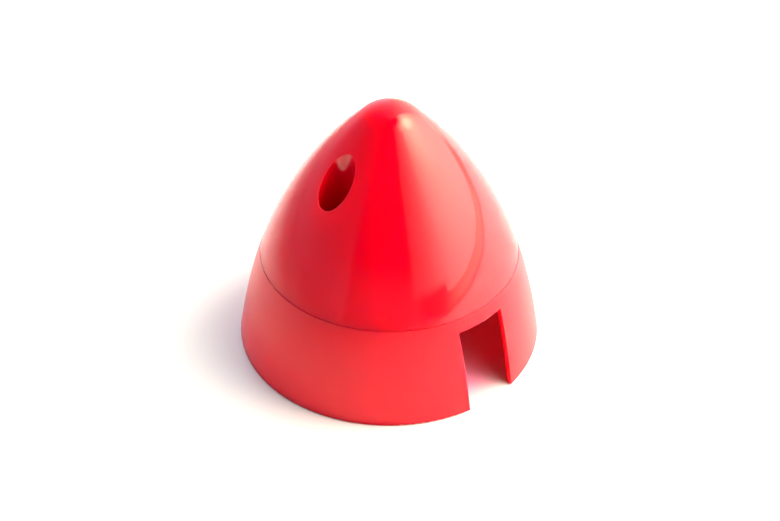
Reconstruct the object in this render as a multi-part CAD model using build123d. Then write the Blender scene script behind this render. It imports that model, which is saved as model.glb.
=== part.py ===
from build123d import *
import math
import os

# Two-blade model aircraft spinner, in millimetres.
# An ogive nose cone is screwed down on a flared base, whose skirt is notched
# for the propeller blades. The origin is the centre of the open rim, +Z runs
# to the tip, the blade slots open along X and the screws stand along Y.

# Outer form
base_diameter = 57.0
overall_height = 51.1
seam_height = 18.9

# Nose cone
cone_foot_diameter = 48.3
flank_radius = 76.8
tip_radius = 7.75
foot_chamfer = 0.15
cone_wall = 1.3
pocket_spacing = 25.3
pocket_diameter = 6.6
pocket_wall = 1.2
pocket_floor = 2.5
fin_thickness = 1.2

# Base
shoulder_diameter = 48.35
skirt_bulge = 0.38
skirt_wall = 1.05
rim_round = 0.25
web_thickness = 2.5
slot_width = 10.55
spigot_height = 2.4
spigot_wall = 1.3
spigot_clearance = 0.15
shaft_diameter = 8.0
shaft_clearance = 0.05
hub_diameter = 15.0
hub_height = 3.0
prop_seat_diameter = 20.0
prop_seat_height = 0.6
boss_diameter = 7.0
boss_height = 5.0
rib_count = 8
rib_thickness = 1.2
rib_height = 2.0

# Self-tapping pan-head screws
thread_diameter = 2.9
thread_clearance = 0.05
screw_length = 9.5
point_length = 1.6
point_diameter = 1.2
head_diameter = 5.6
head_height = 2.1
head_edge = 1.0
head_hole_clearance = 0.15
recess_span = 3.0
recess_width = 0.8
recess_depth = 1.2
recess_draft = 8.0

# Places worked out from the sizes above
base_radius = base_diameter / 2
cone_foot_radius = cone_foot_diameter / 2
shoulder_radius = shoulder_diameter / 2
tip_centre_z = overall_height - tip_radius
web_bottom = seam_height - web_thickness
boss_top = seam_height + boss_height
screw_seat = boss_top + pocket_floor
pocket_places = [(0, -pocket_spacing / 2), (0, pocket_spacing / 2)]


def flank_centre():
    """Centre of the flank arc, which starts at the cone's foot and runs into its tip arc."""
    across = cone_foot_radius
    up = tip_centre_z - seam_height
    gap = math.hypot(across, up)
    along = (flank_radius**2 - (flank_radius - tip_radius) ** 2 + gap**2) / (2 * gap)
    beside = math.sqrt(flank_radius**2 - along**2)
    x = across - (across * along + up * beside) / gap
    z = seam_height + (up * along - across * beside) / gap
    return x, z


def skirt_centre():
    """Centre and radius of the skirt's outer arc, from its chord and its bulge."""
    run = base_radius - shoulder_radius
    chord = math.hypot(run, seam_height)
    radius = (chord**2 / 4 + skirt_bulge**2) / (2 * skirt_bulge)
    back = radius - skirt_bulge
    x = (base_radius + shoulder_radius) / 2 - back * seam_height / chord
    z = seam_height / 2 - back * run / chord
    return x, z, radius


def flank_r(z, inset):
    """Radius at height z of a surface that lies inset inside the cone's flank."""
    centre_x, centre_z = flank_centre()
    return centre_x + math.sqrt((flank_radius - inset) ** 2 - (z - centre_z) ** 2)


def skirt_r(z, inset):
    """Radius at height z of a surface that lies inset inside the skirt."""
    centre_x, centre_z, radius = skirt_centre()
    return centre_x + math.sqrt((radius - inset) ** 2 - (z - centre_z) ** 2)


def skirt_arc(inset, bottom, top):
    """Arc of the skirt's section between two heights."""
    heights = (bottom, (bottom + top) / 2, top)
    return ThreePointArc(*[(skirt_r(z, inset), z) for z in heights])


def turned(*edges):
    """Solid of revolution from the edges of a half section."""
    return revolve(Plane.XZ * make_face(list(edges)), Axis.Z)


def upright(diameter, bottom, top):
    """Vertical cylinder between two heights."""
    lower_end = (Align.CENTER, Align.CENTER, Align.MIN)
    return Pos(0, 0, bottom) * Cylinder(diameter / 2, top - bottom, align=lower_end)


def ogive(inset):
    """Solid inside the cone's skin, offset inwards by inset."""
    centre_x, centre_z = flank_centre()
    radius = flank_radius - inset
    nose = tip_radius - inset
    foot_angle = math.asin((seam_height - centre_z) / radius)
    join_angle = math.atan2(tip_centre_z - centre_z, -centre_x)

    def on_flank(angle):
        return (centre_x + radius * math.cos(angle), centre_z + radius * math.sin(angle))

    def on_tip(angle):
        return (nose * math.cos(angle), tip_centre_z + nose * math.sin(angle))

    foot = on_flank(foot_angle)
    join = on_flank(join_angle)
    top = (0, tip_centre_z + nose)
    return turned(
        Line((0, seam_height), foot),
        ThreePointArc(foot, on_flank((foot_angle + join_angle) / 2), join),
        ThreePointArc(join, on_tip((join_angle + math.pi / 2) / 2), top),
        Line(top, (0, seam_height)),
    )


def make_nose_cone():
    """Hollow ogive with two screw pockets that break out through its flank."""
    whole = ogive(0)
    foot = whole.edges().sort_by(Axis.Z)[0]
    skin = chamfer(foot, foot_chamfer)
    tube = upright(pocket_diameter + 2 * pocket_wall, boss_top, overall_height)
    channel = upright(pocket_diameter, screw_seat, overall_height)
    screw_hole = upright(thread_diameter + 2 * head_hole_clearance, seam_height, overall_height)
    fin = Pos(0, 0, boss_top) * Box(
        fin_thickness,
        cone_foot_radius,
        overall_height,
        align=(Align.CENTER, Align.MIN, Align.MIN),
    )

    cone = skin - ogive(cone_wall)
    for x, y in pocket_places:
        outward = Rot(0, 0, 0 if y > 0 else 180)
        cone += skin & (Pos(x, y, 0) * (tube + outward * fin))
    for x, y in pocket_places:
        cone -= Pos(x, y, 0) * (channel + screw_hole)
    return cone


def make_skirt():
    """Flared skirt with the web that closes it at the top and the cone's spigot."""
    foot = flank_r(seam_height, cone_wall + spigot_clearance)
    spigot_top = seam_height + spigot_height
    head = flank_r(spigot_top, cone_wall + spigot_clearance)
    inner_rim = (skirt_r(0, skirt_wall), 0)
    web_edge = (skirt_r(web_bottom, skirt_wall), web_bottom)
    section = make_face(
        [
            Line(inner_rim, (base_radius, 0)),
            skirt_arc(0, 0, seam_height),
            Polyline(
                (shoulder_radius, seam_height),
                (foot, seam_height),
                (head, spigot_top),
                (head - spigot_wall, spigot_top),
                (foot - spigot_wall, seam_height),
                (0, seam_height),
                (0, web_bottom),
                web_edge,
            ),
            skirt_arc(skirt_wall, 0, web_bottom),
        ]
    )
    outer_rim = section.vertices().sort_by(Axis.X)[-1]
    skirt = revolve(Plane.XZ * fillet(outer_rim, rim_round), Axis.Z)
    slots = Box(
        2 * base_diameter,
        slot_width,
        web_bottom,
        align=(Align.CENTER, Align.CENTER, Align.MIN),
    )
    return skirt - slots


def make_spinner_base():
    """Skirt with its hub, screw bosses and ribs."""
    within_spigot = ogive(cone_wall + spigot_clearance + spigot_wall / 2)
    rib = within_spigot & Pos(0, 0, seam_height) * Box(
        cone_foot_radius,
        rib_thickness,
        rib_height,
        align=(Align.MIN, Align.CENTER, Align.MIN),
    )

    base = make_skirt()
    base += upright(prop_seat_diameter, web_bottom - prop_seat_height, seam_height)
    base += upright(hub_diameter, web_bottom, seam_height + hub_height)
    for number in range(rib_count):
        base += Rot(0, 0, number * 360 / rib_count) * rib
    for x, y in pocket_places:
        base += Pos(x, y, 0) * upright(boss_diameter, web_bottom, boss_top)
    for x, y in pocket_places:
        hole = upright(thread_diameter + 2 * thread_clearance, 0, boss_top)
        base -= Pos(x, y, 0) * hole
    base -= upright(shaft_diameter + 2 * shaft_clearance, 0, overall_height)
    return base


def make_screw():
    """Pan-head self-tapping screw, its thread as a plain cylinder."""
    head_radius = head_diameter / 2
    thread_radius = thread_diameter / 2
    end = screw_seat - screw_length
    top = screw_seat + head_height
    rise = head_height - head_edge
    dome_radius = (head_radius**2 + rise**2) / (2 * rise)
    dome = RadiusArc((0, top), (head_radius, screw_seat + head_edge), dome_radius)
    screw = turned(
        Polyline(
            (0, top),
            (0, end),
            (point_diameter / 2, end),
            (thread_radius, end + point_length),
            (thread_radius, screw_seat),
            (head_radius, screw_seat),
            (head_radius, screw_seat + head_edge),
        ),
        dome,
    )
    cross = Rectangle(recess_span, recess_width) + Rectangle(recess_width, recess_span)
    recess = extrude(Pos(0, 0, top) * cross, amount=-recess_depth, taper=recess_draft)
    return screw - recess


os.makedirs("parts", exist_ok=True)
export_step(make_nose_cone(), "parts/nose_cone.step")
export_step(make_spinner_base(), "parts/spinner_base.step")
for number, (x, y) in enumerate(pocket_places, start=1):
    export_step(Pos(x, y, 0) * make_screw(), f"parts/cone_screw_{number}.step")
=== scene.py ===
import math

import bmesh
import bpy
from mathutils import Matrix, Vector


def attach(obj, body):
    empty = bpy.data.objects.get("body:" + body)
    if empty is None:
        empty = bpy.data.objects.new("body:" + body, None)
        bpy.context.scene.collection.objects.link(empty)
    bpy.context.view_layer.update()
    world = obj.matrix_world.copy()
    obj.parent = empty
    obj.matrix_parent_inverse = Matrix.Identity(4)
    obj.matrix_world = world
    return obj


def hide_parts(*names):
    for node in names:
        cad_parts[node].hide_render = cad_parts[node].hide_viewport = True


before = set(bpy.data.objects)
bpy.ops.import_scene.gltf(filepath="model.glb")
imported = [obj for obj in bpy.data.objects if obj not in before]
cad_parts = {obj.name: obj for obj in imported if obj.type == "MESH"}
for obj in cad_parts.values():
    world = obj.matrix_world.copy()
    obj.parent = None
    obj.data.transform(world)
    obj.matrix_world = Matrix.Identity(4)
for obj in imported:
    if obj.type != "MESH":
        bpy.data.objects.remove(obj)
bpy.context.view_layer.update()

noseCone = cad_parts["nose_cone"]
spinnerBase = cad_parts["spinner_base"]


# Small helpers for node trees. An input is either a value or another node's socket

def plug(tree, value, socket):
    if isinstance(value, bpy.types.NodeSocket):
        tree.links.new(value, socket)
    else:
        socket.default_value = value


def addNode(tree, kind, inputs=None, **values):
    node = tree.nodes.new(kind)
    for name, value in values.items():
        setattr(node, name, value)
    for name, value in (inputs or {}).items():
        plug(tree, value, node.inputs[name])
    return node


def maths(tree, operation, *terms, clamp=False):
    inputs = dict(enumerate(terms))
    return addNode(tree, "ShaderNodeMath", inputs, operation=operation, use_clamp=clamp).outputs[0]


def spread(tree, value, fromLow, fromHigh, toLow=0.0, toHigh=1.0, smooth=True):
    node = addNode(
        tree,
        "ShaderNodeMapRange",
        {"Value": value, "From Min": fromLow, "From Max": fromHigh, "To Min": toLow, "To Max": toHigh},
        interpolation_type="SMOOTHSTEP" if smooth else "LINEAR",
    )
    return node.outputs["Result"]


def noise(tree, place, scale, **more):
    return addNode(tree, "ShaderNodeTexNoise", {"Vector": place, "Scale": scale, **more}).outputs["Fac"]


def blend(tree, share, first, second):
    return addNode(tree, "ShaderNodeMix", {0: share, 6: first, 7: second}, data_type="RGBA").outputs[2]


def objectPlace(tree):
    return addNode(tree, "ShaderNodeTexCoord").outputs["Object"]


def newMaterial(name):
    material = bpy.data.materials.new(name)
    material.use_nodes = True
    tree = material.node_tree
    tree.nodes.clear()
    return material, tree


def newGroup(name, inputs, outputs):
    tree = bpy.data.node_groups.new(name, "ShaderNodeTree")
    for label, kind, value in inputs:
        socket = tree.interface.new_socket(label, in_out="INPUT", socket_type=kind)
        socket.default_value = value
    for label, kind in outputs:
        tree.interface.new_socket(label, in_out="OUTPUT", socket_type=kind)
    return tree, tree.nodes.new("NodeGroupInput").outputs, tree.nodes.new("NodeGroupOutput").inputs


def placeGroup(tree, group, inputs):
    return addNode(tree, "ShaderNodeGroup", inputs, node_tree=group).outputs[0]


# Effects that the finishes share. Each pair of edges says where a noise starts and stops to count

effects = {
    "patchEdges": (0.35, 0.65),
    "smudgeEdges": (0.45, 0.75),
    "scratchEdges": (0.62, 0.72),
    "scratchStretch": (1.0, 1.0, 0.06),
    "cornerEdges": (0.99, 0.9),
    "speckleEdges": (0.35, 0.6),
    "leastSpeckle": 0.4,
}


def buildPigmentDrift():
    tree, given, out = newGroup(
        "pigmentDrift",
        [
            ("Colour", "NodeSocketColor", (0.8, 0.8, 0.8, 1)),
            ("Shade", "NodeSocketColor", (0.7, 0.7, 0.7, 1)),
            ("Patch Scale", "NodeSocketFloat", 60.0),
        ],
        [("Colour", "NodeSocketColor")],
    )
    cloud = noise(tree, objectPlace(tree), given["Patch Scale"], Detail=3.0, Roughness=0.55)
    share = spread(tree, cloud, *effects["patchEdges"])
    plug(tree, blend(tree, share, given["Colour"], given["Shade"]), out["Colour"])
    return tree


def buildMouldedSkin():
    tree, given, out = newGroup(
        "mouldedSkin",
        [
            ("Grain Scale", "NodeSocketFloat", 4000.0),
            ("Grain", "NodeSocketFloat", 0.5),
            ("Wander Scale", "NodeSocketFloat", 90.0),
            ("Wander", "NodeSocketFloat", 0.5),
        ],
        [("Height", "NodeSocketFloat")],
    )
    place = objectPlace(tree)
    grain = noise(tree, place, given["Grain Scale"], Detail=2.0)
    wander = noise(tree, place, given["Wander Scale"], Detail=1.0)
    fine = maths(tree, "MULTIPLY", grain, given["Grain"])
    slow = maths(tree, "MULTIPLY", wander, given["Wander"])
    plug(tree, maths(tree, "ADD", fine, slow), out["Height"])
    return tree


def buildHandlingMarks():
    tree, given, out = newGroup(
        "handlingMarks",
        [
            ("Smudge Scale", "NodeSocketFloat", 70.0),
            ("Scratch Scale", "NodeSocketFloat", 260.0),
            ("Scratches", "NodeSocketFloat", 0.4),
        ],
        [("Mask", "NodeSocketFloat")],
    )
    place = objectPlace(tree)
    smudge = noise(tree, place, given["Smudge Scale"], Detail=4.0, Roughness=0.6)
    drawn = addNode(tree, "ShaderNodeMapping", {"Vector": place, "Scale": effects["scratchStretch"]})
    scratch = noise(tree, drawn.outputs[0], given["Scratch Scale"], Detail=3.0, Distortion=0.4)
    scratchMask = spread(tree, scratch, *effects["scratchEdges"])
    lines = maths(tree, "MULTIPLY", scratchMask, given["Scratches"])
    smudgeMask = spread(tree, smudge, *effects["smudgeEdges"])
    plug(tree, maths(tree, "MAXIMUM", smudgeMask, lines), out["Mask"])
    return tree


# Mask of edges that are made lighter: rubbed edges on the screws, and on the red plastic a painted highlight
# along the rounded edges
def buildEdgeRubAndHighlight():
    tree, given, out = newGroup(
        "edgeRubAndHighlight",
        [("Width", "NodeSocketFloat", 0.0003), ("Breakup Scale", "NodeSocketFloat", 900.0)],
        [("Mask", "NodeSocketFloat")],
    )
    rounded = addNode(tree, "ShaderNodeBevel", {"Radius": given["Width"]}, samples=4).outputs[0]
    flat = addNode(tree, "ShaderNodeNewGeometry").outputs["Normal"]
    agree = addNode(tree, "ShaderNodeVectorMath", {0: rounded, 1: flat}, operation="DOT_PRODUCT")
    corner = spread(tree, agree.outputs["Value"], *effects["cornerEdges"])
    speckle = noise(tree, objectPlace(tree), given["Breakup Scale"], Detail=3.0)
    broken = spread(tree, speckle, *effects["speckleEdges"], effects["leastSpeckle"], 1.0)
    plug(tree, maths(tree, "MULTIPLY", corner, broken), out["Mask"])
    return tree


pigmentDrift = buildPigmentDrift()
mouldedSkin = buildMouldedSkin()
handlingMarks = buildHandlingMarks()
edgeRubAndHighlight = buildEdgeRubAndHighlight()
print("shared effects built")


# Red plastic, polished on the cone and satin on the base

coneFinish = {
    "red": (0.87, 0.0005, 0.018, 1),
    "deepRed": (0.84, 0.0005, 0.016, 1),
    # lighter edge colour, a painted highlight along the rounded edges
    "rubbedAndHighlightRed": (0.88, 0.004, 0.026, 1),
    "patchScale": 55.0,
    "roughness": 0.025,
    "markedRoughness": 0.05,
    "smudgeScale": 60.0,
    "scratchScale": 420.0,
    "scratches": 0.5,
    "ior": 1.49,
    "glow": 1.0,
    "glowDepth": 0.0035,
    "glowReach": (1.0, 0.08, 0.06),
    "grain": 0.06,
    "grainScale": 5200.0,
    "wander": 0.5,
    "wanderScale": 75.0,
    "bumpHeight": 0.000004,
    "edgeRadius": 0.00018,
    "rubAndHighlight": 0.5,
    "rubAndHighlightWidth": 0.00027,
    "rubAndHighlightScale": 1100.0,
}

baseFinish = {
    "red": (0.84, 0.0005, 0.017, 1),
    "deepRed": (0.81, 0.0005, 0.016, 1),
    # lighter edge colour, a painted highlight along the rounded edges
    "rubbedAndHighlightRed": (0.88, 0.004, 0.026, 1),
    "patchScale": 55.0,
    "roughness": 0.29,
    "markedRoughness": 0.35,
    "smudgeScale": 60.0,
    "scratchScale": 420.0,
    "scratches": 0.5,
    "ior": 1.44,
    "glow": 1.0,
    "glowDepth": 0.006,
    "glowReach": (1.0, 0.08, 0.06),
    "grain": 0.5,
    "grainScale": 5200.0,
    "wander": 0.4,
    "wanderScale": 75.0,
    "bumpHeight": 0.000008,
    "edgeRadius": 0.00015,
    "rubAndHighlight": 0.5,
    "rubAndHighlightWidth": 0.000225,
    "rubAndHighlightScale": 1100.0,
}


def driftOf(tree, finish, colour, shade):
    inputs = {"Colour": finish[colour], "Shade": finish[shade], "Patch Scale": finish["patchScale"]}
    return placeGroup(tree, pigmentDrift, inputs)


def rubAndHighlightOf(tree, finish):
    return placeGroup(tree, edgeRubAndHighlight, {"Width": finish["rubAndHighlightWidth"], "Breakup Scale": finish["rubAndHighlightScale"]})


def roughnessOf(tree, finish):
    marks = placeGroup(
        tree,
        handlingMarks,
        {
            "Smudge Scale": finish["smudgeScale"],
            "Scratch Scale": finish["scratchScale"],
            "Scratches": finish["scratches"],
        },
    )
    return spread(tree, marks, 0.0, 1.0, finish["roughness"], finish["markedRoughness"], smooth=False)


def redPlastic(name, finish):
    material, tree = newMaterial(name)
    skin = placeGroup(
        tree,
        mouldedSkin,
        {
            "Grain Scale": finish["grainScale"],
            "Grain": finish["grain"],
            "Wander Scale": finish["wanderScale"],
            "Wander": finish["wander"],
        },
    )
    softEdge = addNode(tree, "ShaderNodeBevel", {"Radius": finish["edgeRadius"]}, samples=6)
    bump = addNode(
        tree,
        "ShaderNodeBump",
        {
            "Strength": 1.0,
            "Distance": finish["bumpHeight"],
            "Height": skin,
            "Normal": softEdge.outputs[0],
        },
    )
    # Lighter edges on the plastic: a painted highlight along the rounded edges
    rubbedAndHighlight = maths(tree, "MULTIPLY", rubAndHighlightOf(tree, finish), finish["rubAndHighlight"])
    shader = addNode(
        tree,
        "ShaderNodeBsdfPrincipled",
        {
            "Base Color": blend(tree, rubbedAndHighlight, driftOf(tree, finish, "red", "deepRed"), finish["rubbedAndHighlightRed"]),
            "Roughness": roughnessOf(tree, finish),
            "IOR": finish["ior"],
            "Subsurface Weight": finish["glow"],
            "Subsurface Radius": finish["glowReach"],
            "Subsurface Scale": finish["glowDepth"],
            "Normal": bump.outputs[0],
        },
    )
    addNode(tree, "ShaderNodeOutputMaterial", {"Surface": shader.outputs[0]})
    return material


def dress(piece, material):
    piece.data.materials.clear()
    piece.data.materials.append(material)


dress(noseCone, redPlastic("conePolishedRed", coneFinish))
dress(spinnerBase, redPlastic("baseSatinRed", baseFinish))
print("red plastic on cone and base")


# Self-tapping pan-head screws, with the thread and the cross recess cut

screwSize = {
    "seatHeight": 0.0264,
    "spacing": 0.0253,
    "length": 0.0095,
    "crestRadius": 0.00144,
    "rootRadius": 0.00104,
    "pitch": 0.00106,
    "rootFlat": 0.4,
    "runOutTurns": 0.6,
    "pointLength": 0.0016,
    "pointRadius": 0.00058,
    "neckRadius": 0.001248,
    "neckDrop": 0.00001,
    "headRadius": 0.00279,
    "headHeight": 0.00209,
    "headEdge": 0.001,
    "edgeRound": 0.00018,
    "edgeSteps": 4,
    "rimDrop": 0.00012,
    "domeInset": 0.00008,
    "domeSteps": 12,
    "recessSpan": 0.003,
    "recessWidth": 0.0008,
    "recessDepth": 0.0012,
    "recessDraft": 8.0,
    "cutterOver": 0.0004,
    "segments": 72,
    "rowsPerTurn": 14,
    "sharpAngle": 32,
}


def threadRadius(height, angle, size):
    taper = min(1.0, (height + size["length"]) / size["pointLength"])
    crest = size["pointRadius"] + (size["crestRadius"] - size["pointRadius"]) * taper
    root = min(crest, size["pointRadius"] + (size["rootRadius"] - size["pointRadius"]) * taper)
    phase = (height / size["pitch"] - angle / (2 * math.pi)) % 1.0
    peak = 1 - abs(2 * phase - 1)
    flank = max(0.0, (peak - size["rootFlat"]) / (1 - size["rootFlat"]))
    runOut = min(1.0, max(0.0, -height / (size["runOutTurns"] * size["pitch"])))
    return root + (crest - root) * flank * runOut


def headProfile(size):
    edge = size["edgeRound"]
    flatRadius = size["headRadius"] - edge
    rise = size["headHeight"] - size["headEdge"]
    domeRadius = (size["headRadius"] ** 2 + rise ** 2) / (2 * rise)
    domeCentre = size["headHeight"] - domeRadius
    points = [(size["neckRadius"], 0.0), (flatRadius, 0.0)]
    for step in range(1, size["edgeSteps"] + 1):
        turn = math.radians(90 * step / size["edgeSteps"])
        points.append((flatRadius + edge * math.sin(turn), edge * (1 - math.cos(turn))))
    points.append((size["headRadius"], size["headEdge"] - size["rimDrop"]))
    for step in range(size["domeSteps"]):
        radius = (size["headRadius"] - size["domeInset"]) * (1 - step / size["domeSteps"])
        points.append((radius, domeCentre + math.sqrt(domeRadius ** 2 - radius ** 2)))
    return points


def closedSkin(name, rings, bottomCentre, topCentre):
    mesh = bpy.data.meshes.new(name)
    shape = bmesh.new()
    rows = [[shape.verts.new(point) for point in ring] for ring in rings]
    for lower, upper in zip(rows, rows[1:]):
        for here in range(len(lower)):
            there = (here + 1) % len(lower)
            shape.faces.new((lower[here], lower[there], upper[there], upper[here]))
    for row, centre, flip in ((rows[0], bottomCentre, True), (rows[-1], topCentre, False)):
        middle = shape.verts.new(centre)
        for here in range(len(row)):
            pair = (row[here], row[(here + 1) % len(row)])
            shape.faces.new((pair[1], pair[0], middle) if flip else (pair[0], pair[1], middle))
    shape.normal_update()
    shape.to_mesh(mesh)
    shape.free()
    return mesh


def screwBody(name, size):
    around = [2 * math.pi * step / size["segments"] for step in range(size["segments"])]
    rows = round(size["length"] / size["pitch"] * size["rowsPerTurn"])
    rings = []
    for row in range(rows + 1):
        height = -size["length"] * (1 - row / rows) - (size["neckDrop"] if row == rows else 0)
        ring = []
        for angle in around:
            radius = threadRadius(height, angle, size)
            ring.append((radius * math.cos(angle), radius * math.sin(angle), height))
        rings.append(ring)
    for radius, height in headProfile(size):
        rings.append([(radius * math.cos(angle), radius * math.sin(angle), height) for angle in around])
    return closedSkin(name, rings, (0, 0, -size["length"]), (0, 0, size["headHeight"]))


def crossCutter(name, size):
    half = size["recessSpan"] / 2
    width = size["recessWidth"] / 2
    outline = [
        (half, -width), (half, width), (width, width), (width, half), (-width, half), (-width, width),
        (-half, width), (-half, -width), (-width, -width), (-width, -half), (width, -half), (width, -width),
    ]
    lean = math.tan(math.radians(size["recessDraft"]))
    rings = []
    for rise in (-size["recessDepth"], size["cutterOver"]):
        grow = rise * lean
        height = size["headHeight"] + rise
        ring = [(x + math.copysign(1, x) * grow, y + math.copysign(1, y) * grow, height) for x, y in outline]
        rings.append(ring)
    floorHeight, roofHeight = (ring[0][2] for ring in rings)
    mesh = closedSkin(name, rings, (0, 0, floorHeight), (0, 0, roofHeight))
    return bpy.data.objects.new(name, mesh)


def cutRecess(piece, cutter):
    scene = bpy.context.scene
    scene.collection.objects.link(cutter)
    cut = piece.modifiers.new("recess", "BOOLEAN")
    cut.operation = "DIFFERENCE"
    cut.solver = "EXACT"
    cut.object = cutter
    bpy.context.view_layer.update()
    evaluated = piece.evaluated_get(bpy.context.evaluated_depsgraph_get())
    finished = bpy.data.meshes.new_from_object(evaluated)
    piece.modifiers.clear()
    piece.data = finished
    bpy.data.objects.remove(cutter)


steelFinish = {
    "steel": (0.62, 0.61, 0.59, 1),
    "dullSteel": (0.46, 0.45, 0.44, 1),
    "wornSteel": (0.78, 0.77, 0.75, 1),
    "patchScale": 700.0,
    "roughness": 0.26,
    "markedRoughness": 0.42,
    "smudgeScale": 900.0,
    "scratchScale": 3000.0,
    "scratches": 0.8,
    "ringScale": 2600.0,
    "bump": 0.6,
    "bumpHeight": 0.000006,
    "rubAndHighlightWidth": 0.00012,
    "rubAndHighlightScale": 2500.0,
}


def screwSteel(finish):
    material, tree = newMaterial("screwSteel")
    rings = addNode(
        tree,
        "ShaderNodeTexWave",
        {"Vector": objectPlace(tree), "Scale": finish["ringScale"], "Distortion": 1.5, "Detail": 2.0},
        wave_type="RINGS",
        rings_direction="Z",
    )
    bump = addNode(
        tree,
        "ShaderNodeBump",
        {"Strength": finish["bump"], "Distance": finish["bumpHeight"], "Height": rings.outputs["Fac"]},
    )
    drift = driftOf(tree, finish, "steel", "dullSteel")
    shader = addNode(
        tree,
        "ShaderNodeBsdfPrincipled",
        {
            "Base Color": blend(tree, rubAndHighlightOf(tree, finish), drift, finish["wornSteel"]),
            "Metallic": 1.0,
            "Roughness": roughnessOf(tree, finish),
            "Normal": bump.outputs[0],
        },
    )
    addNode(tree, "ShaderNodeOutputMaterial", {"Surface": shader.outputs[0]})
    return material


def placeScrews(size):
    steel = screwSteel(steelFinish)
    for number, side in ((1, -1), (2, 1)):
        piece = bpy.data.objects.new(f"threaded_screw_{number}", screwBody(f"threadedScrew{number}", size))
        bpy.context.scene.collection.objects.link(piece)
        cutRecess(piece, crossCutter(f"recessCutter{number}", size))
        piece.data.name = f"threadedScrew{number}"
        piece.data.polygons.foreach_set("use_smooth", [True] * len(piece.data.polygons))
        piece.data.set_sharp_from_angle(angle=math.radians(size["sharpAngle"]))
        dress(piece, steel)
        piece.location = (0, side * size["spacing"] / 2, size["seatHeight"])
        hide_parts(f"cone_screw_{number}")
        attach(piece, "root")


placeScrews(screwSize)
print("threaded screws in place")


# Camera, floor and studio. Directions are measured from the camera's side of the part

studio = {
    "bearing": 47.639,
    "lampDistance": 0.5,
    "lampHeight": 0.02,
    "skyFill": 0.05,
}

cameraSet = {
    "lens": 96.34,
    "sensor": 36.0,
    "clip": (0.01, 50.0),
    "distance": 0.39201,
    "elevation": 38.86,
    "aimHeight": 0.015776,
    "sideStep": 0.000128,
    "roll": 0.2,
}

lamps = {
    "leftLamp": {"az": -95, "el": 38, "wide": 0.5, "high": 0.4, "level": 1.0, "tint": (0.92, 0.92, 1)},
    "backLamp": {"az": -165, "el": 38, "wide": 0.5, "high": 0.4, "level": 1.7, "tint": (0.92, 0.92, 1)},
    "topLamp": {"az": -130, "el": 62, "wide": 0.4, "high": 0.4, "level": 1.3, "tint": (0.84, 0.84, 1)},
    "frontLamp": {"az": -12, "el": 12, "wide": 0.5, "high": 0.2, "level": 0.45, "tint": (1, 0.95, 1)},
    "coolLamp": {"az": 98, "el": 45, "wide": 0.5, "high": 0.4, "level": 1.9, "tint": (0, 0.05, 1)},
    "warmLamp": {"az": 95, "el": 18, "wide": 0.5, "high": 0.3, "level": 10.0, "tint": (1, 0, 0.05)},
}


def tentDirection(azimuth, elevation):
    az, el = math.radians(azimuth), math.radians(elevation)
    return Vector((math.sin(az) * math.cos(el), -math.cos(az) * math.cos(el), math.sin(el)))


def studioTurn():
    return Matrix.Rotation(math.radians(studio["bearing"]), 3, "Z")


def placeCamera(setting):
    aim = studioTurn() @ Vector((setting["sideStep"], 0, setting["aimHeight"]))
    back = studioTurn() @ tentDirection(0, setting["elevation"])
    roll = Matrix.Rotation(math.radians(setting["roll"]), 3, "Z")
    data = bpy.data.cameras.new("productCamera")
    data.lens = setting["lens"]
    data.sensor_width = setting["sensor"]
    data.clip_start, data.clip_end = setting["clip"]
    camera = bpy.data.objects.new("productCamera", data)
    camera.location = aim + back * setting["distance"]
    camera.rotation_euler = ((-back).to_track_quat("-Z", "Y").to_matrix() @ roll).to_euler()
    bpy.context.scene.collection.objects.link(camera)
    bpy.context.scene.camera = camera


def placeLamp(name, setting):
    data = bpy.data.lights.new(name, "AREA")
    data.shape = "RECTANGLE"
    data.size, data.size_y = setting["wide"], setting["high"]
    data.energy = setting["level"] * math.pi * setting["wide"] * setting["high"]
    data.color = setting["tint"]
    lamp = bpy.data.objects.new(name, data)
    towards = studioTurn() @ tentDirection(setting["az"], setting["el"])
    lamp.location = towards * studio["lampDistance"] + Vector((0, 0, studio["lampHeight"]))
    lamp.rotation_euler = towards.to_track_quat("Z", "Y").to_euler()
    lamp.visible_glossy = False
    lamp.visible_camera = False
    bpy.context.scene.collection.objects.link(lamp)


# The paper has a painted red glow close to the axis, in place of the red light that comes through the part.
# Far out it turns white for the camera, and a painted shade makes it dark for the light that would bounce off
# it

paperSet = {
    "size": 9.0,
    "sink": 0.00002,
    "colour": (0.7, 0.7, 0.7, 1),
    # painted shade: far from the lit side the paper is darker for the light that bounces off it
    "farPaintedShadeColour": (0.3, 0.3, 0.3, 1),
    # painted red glow under the part, in place of the red light that comes through the plastic
    "paintedRedGlowColour": (0.92, 0.33, 0.54, 1),
    "paintedRedGlowRadii": (0.029, 0.021),
    "litAzimuth": 100,
    "litDistance": 0.16,
    "fadeRadii": (0.215, 0.3),
    "roughness": 0.3,
    "ior": 1.5,
    "fibreScale": 900.0,
    "fibreBump": 0.3,
    "fibreHeight": 0.00002,
}


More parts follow.
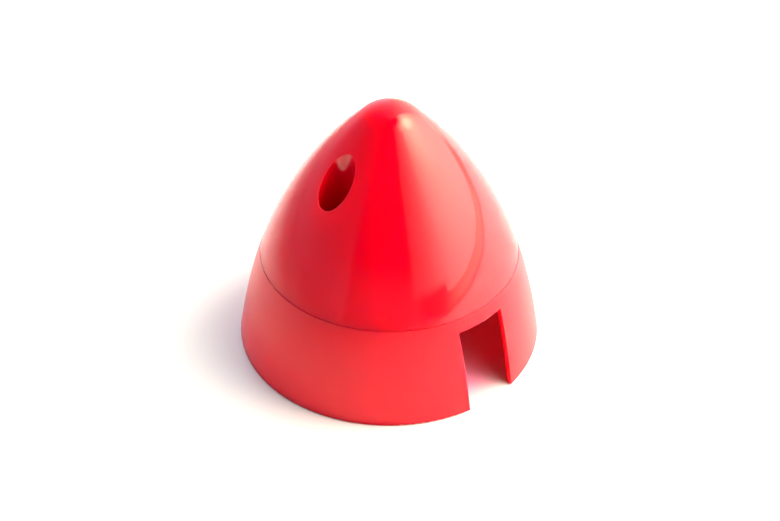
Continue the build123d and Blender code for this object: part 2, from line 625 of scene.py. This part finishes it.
def floorPaper(setting):
    material, tree = newMaterial("floorPaper")
    place = objectPlace(tree)
    litSide = studioTurn() @ tentDirection(setting["litAzimuth"], 0) * setting["litDistance"]
    apart = addNode(tree, "ShaderNodeVectorMath", {0: place, 1: litSide}, operation="DISTANCE")
    far = spread(tree, apart.outputs["Value"], *setting["fadeRadii"])
    cameraRay = addNode(tree, "ShaderNodeLightPath").outputs["Is Camera Ray"]
    farSeen = maths(tree, "MULTIPLY", far, cameraRay)
    # Painted shade on the far paper, for every ray but the camera's
    farPaintedShade = maths(tree, "SUBTRACT", far, farSeen)
    sheet = blend(tree, farPaintedShade, setting["colour"], setting["farPaintedShadeColour"])
    # Painted red glow on the paper close to the axis, in place of the light that comes through the red part
    fromAxis = addNode(tree, "ShaderNodeVectorMath", {0: place}, operation="LENGTH")
    near = spread(tree, fromAxis.outputs["Value"], *setting["paintedRedGlowRadii"])
    bump = addNode(
        tree,
        "ShaderNodeBump",
        {
            "Strength": setting["fibreBump"],
            "Distance": setting["fibreHeight"],
            "Height": noise(tree, place, setting["fibreScale"], Detail=3.0),
        },
    )
    paper = addNode(
        tree,
        "ShaderNodeBsdfPrincipled",
        {
            "Base Color": blend(tree, near, sheet, setting["paintedRedGlowColour"]),
            "Roughness": setting["roughness"],
            "IOR": setting["ior"],
            "Normal": bump.outputs[0],
        },
    )
    white = addNode(tree, "ShaderNodeEmission", {"Color": (1, 1, 1, 1), "Strength": 1.0})
    above = addNode(tree, "ShaderNodeMixShader", {0: farSeen, 1: paper.outputs[0], 2: white.outputs[0]})
    # Clear from below, so that the open rim can be looked into
    clear = addNode(tree, "ShaderNodeBsdfTransparent")
    fromBelow = addNode(tree, "ShaderNodeNewGeometry").outputs["Backfacing"]
    both = addNode(tree, "ShaderNodeMixShader", {0: fromBelow, 1: above.outputs[0], 2: clear.outputs[0]})
    addNode(tree, "ShaderNodeOutputMaterial", {"Surface": both.outputs[0]})
    return material


def layFloor(setting):
    half = setting["size"] / 2
    corners = [(-half, -half, 0), (half, -half, 0), (half, half, 0), (-half, half, 0)]
    mesh = bpy.data.meshes.new("floor")
    mesh.from_pydata(corners, [], [(0, 1, 2, 3)])
    floor = bpy.data.objects.new("floor", mesh)
    floor.location = (0, 0, -setting["sink"])
    dress(floor, floorPaper(setting))
    bpy.context.scene.collection.objects.link(floor)


# Light tent, a half sphere round the part. Each glow has shares along the azimuth and up the
# elevation, in degrees. A glow with a centre also falls off with the angle away from it

tentSize = {"radius": 0.6, "segments": 96, "rings": 48}

tentGlows = {
    "softbox": {
        "tint": (1.0, 0.98, 0.76),
        "level": 6.6,
        "along": [(49, 0), (51, 0.5), (55, 0.64), (62, 0.78), (70, 0.9), (84, 1.0), (105, 1.0), (116, 0.92),
                  (130, 0.78), (138, 0.64), (140, 0)],
        "up": [(3.4, 0), (4.1, 0.84), (8, 0.9), (14, 0.97), (24, 1.0), (40, 0.8), (58, 0.65), (66, 0.4),
               (74, 0)],
    },
    "bulb": {
        "tint": (1.0, 0.96, 0.56),
        "level": 16.0,
        "along": [(50, 0), (53, 1.0), (136, 1.0), (140, 0)],
        "up": [(5, 0), (8, 1.0), (60, 1.0), (68, 0.6), (76, 0)],
        "centre": (100, 53),
        "away": [(0, 1.0), (5, 0.95), (10, 0.74), (15, 0.44), (20, 0.32), (25, 0.2), (30, 0.1), (40, 0.04),
                 (50, 0)],
    },
    "farTable": {
        "tint": (1.0, 0.95, 0.6),
        "level": 4.6,
        "along": [(46, 0), (56, 0.45), (60, 0.6), (72, 0.78), (95, 0.88), (118, 0.8), (124, 0.5), (150, 0.42),
                  (165, 0.3), (180, 0.2)],
        "up": [(0, 1.0), (3, 1.0), (4.4, 0)],
    },
    "sidePanel": {
        "tint": (1.0, 0.98, 0.75),
        "level": 2.9,
        "along": [(19, 0), (22, 0.16), (30, 0.3), (34, 0.42), (38, 0.54), (42, 0.66), (46, 0.92), (49, 1.0),
                  (51, 0)],
        "up": [(6, 0.15), (9, 1.0), (58, 1.0), (68, 0.5), (76, 0)],
    },
    "backCorner": {
        "tint": (1.0, 0.97, 0.75),
        "level": 3.4,
        "along": [(138, 0), (140, 1.0), (148, 0.95), (156, 0.8), (166, 0.6), (175, 0.4), (180, 0.34)],
        "up": [(0, 0.8), (12, 1.0), (24, 1.0), (40, 0.85), (50, 0.65), (60, 0.5), (72, 0.3), (90, 0.2)],
    },
    "backWall": {
        "tint": (0.95, 0.95, 1.0),
        "level": 1.2,
        "along": [(-180, 1.0), (-160, 0.7), (-140, 0.2), (-125, 0)],
        "up": [(0, 0.9), (24, 1.0), (45, 0.75), (60, 0.5), (72, 0.4), (90, 0.2)],
    },
    "leftWall": {
        "tint": (0.95, 0.8, 1.0),
        "level": 0.72,
        "along": [(-180, 0.8), (-130, 1.0), (-100, 0.9), (-60, 0.6), (-44, 0.5), (-37, 0.4), (-34, 0)],
        "up": [(0, 1.0), (7, 1.0), (14, 0.75), (22, 0.62), (32, 0.45), (42, 0.25), (52, 0.12), (90, 0.08)],
    },
    "frontWall": {
        "tint": (0.95, 0.82, 1.0),
        "level": 0.3,
        "along": [(-60, 0), (-44, 0.6), (-32, 1.0), (10, 1.0), (22, 1.3), (30, 0)],
        "up": [(0, 1.0), (7, 0.8), (12, 0.5), (18, 0)],
    },
}


def ramp(tree, value, stops):
    node = addNode(tree, "ShaderNodeValToRGB", {"Fac": value})
    band = node.color_ramp
    while len(band.elements) > 1:
        band.elements.remove(band.elements[0])
    for number, (place, level) in enumerate(stops):
        stop = band.elements[0] if number == 0 else band.elements.new(place)
        stop.position = place
        stop.color = (level, level, level, 1)
    return node.outputs["Color"]


def glowStrength(tree, glow, outward, around, above):
    along = ramp(tree, around, [(az / 360 + 0.5, level) for az, level in glow["along"]])
    up = ramp(tree, above, [(el / 90, level) for el, level in glow["up"]])
    strength = maths(tree, "MULTIPLY", maths(tree, "MULTIPLY", along, up), glow["level"])
    if "centre" not in glow:
        return strength
    centre = tentDirection(*glow["centre"])
    agree = addNode(tree, "ShaderNodeVectorMath", {0: outward, 1: centre}, operation="DOT_PRODUCT")
    apart = maths(tree, "DIVIDE", maths(tree, "ARCCOSINE", agree.outputs["Value"]), math.pi / 2)
    near = ramp(tree, apart, [(angle / 90, level) for angle, level in glow["away"]])
    return maths(tree, "MULTIPLY", strength, near)


def tentGlow():
    material, tree = newMaterial("tentGlow")
    outward = addNode(tree, "ShaderNodeVectorMath", {0: objectPlace(tree)}, operation="NORMALIZE").outputs[0]
    axes = addNode(tree, "ShaderNodeSeparateXYZ", {0: outward}).outputs
    azimuth = maths(tree, "ARCTAN2", axes["X"], maths(tree, "MULTIPLY", axes["Y"], -1.0))
    around = maths(tree, "ADD", maths(tree, "DIVIDE", azimuth, 2 * math.pi), 0.5)
    above = maths(tree, "DIVIDE", maths(tree, "ARCSINE", axes["Z"]), math.pi / 2)
    total = None
    for glow in tentGlows.values():
        strength = glowStrength(tree, glow, outward, around, above)
        tint = (*glow["tint"], 1)
        light = addNode(tree, "ShaderNodeEmission", {"Color": tint, "Strength": strength}).outputs[0]
        if total is None:
            total = light
        else:
            total = addNode(tree, "ShaderNodeAddShader", {0: total, 1: light}).outputs[0]
    addNode(tree, "ShaderNodeOutputMaterial", {"Surface": total})
    return material


def pitchTent(size):
    segments, rings, radius = size["segments"], size["rings"], size["radius"]
    mesh = bpy.data.meshes.new("lightTent")
    shape = bmesh.new()
    bmesh.ops.create_uvsphere(shape, u_segments=segments, v_segments=rings, radius=radius)
    below = [face for face in shape.faces if face.calc_center_median().z < 0]
    bmesh.ops.delete(shape, geom=below, context="FACES")
    shape.to_mesh(mesh)
    shape.free()
    tent = bpy.data.objects.new("lightTent", mesh)
    tent.rotation_euler = (0, 0, math.radians(studio["bearing"]))
    dress(tent, tentGlow())
    tent.visible_camera = False
    tent.visible_shadow = False
    tent.visible_transmission = False
    bpy.context.scene.collection.objects.link(tent)


# White where it is seen, reflected or looked through to, and a faint fill for everything else

def paintWorld():
    world = bpy.data.worlds.new("studioAir")
    world.use_nodes = True
    tree = world.node_tree
    tree.nodes.clear()
    path = addNode(tree, "ShaderNodeLightPath").outputs
    seen = maths(tree, "ADD", path["Is Camera Ray"], path["Is Glossy Ray"])
    seen = maths(tree, "ADD", seen, path["Is Transmission Ray"], clamp=True)
    strength = spread(tree, seen, 0.0, 1.0, studio["skyFill"], 1.0, smooth=False)
    air = addNode(tree, "ShaderNodeBackground", {"Color": (1, 1, 1, 1), "Strength": strength})
    addNode(tree, "ShaderNodeOutputWorld", {"Surface": air.outputs[0]})
    bpy.context.scene.world = world


placeCamera(cameraSet)
layFloor(paperSet)
pitchTent(tentSize)
paintWorld()
for lampName, lampSetting in lamps.items():
    placeLamp(lampName, lampSetting)
bpy.context.scene.view_settings.view_transform = "Standard"
print("camera, floor and studio light set")
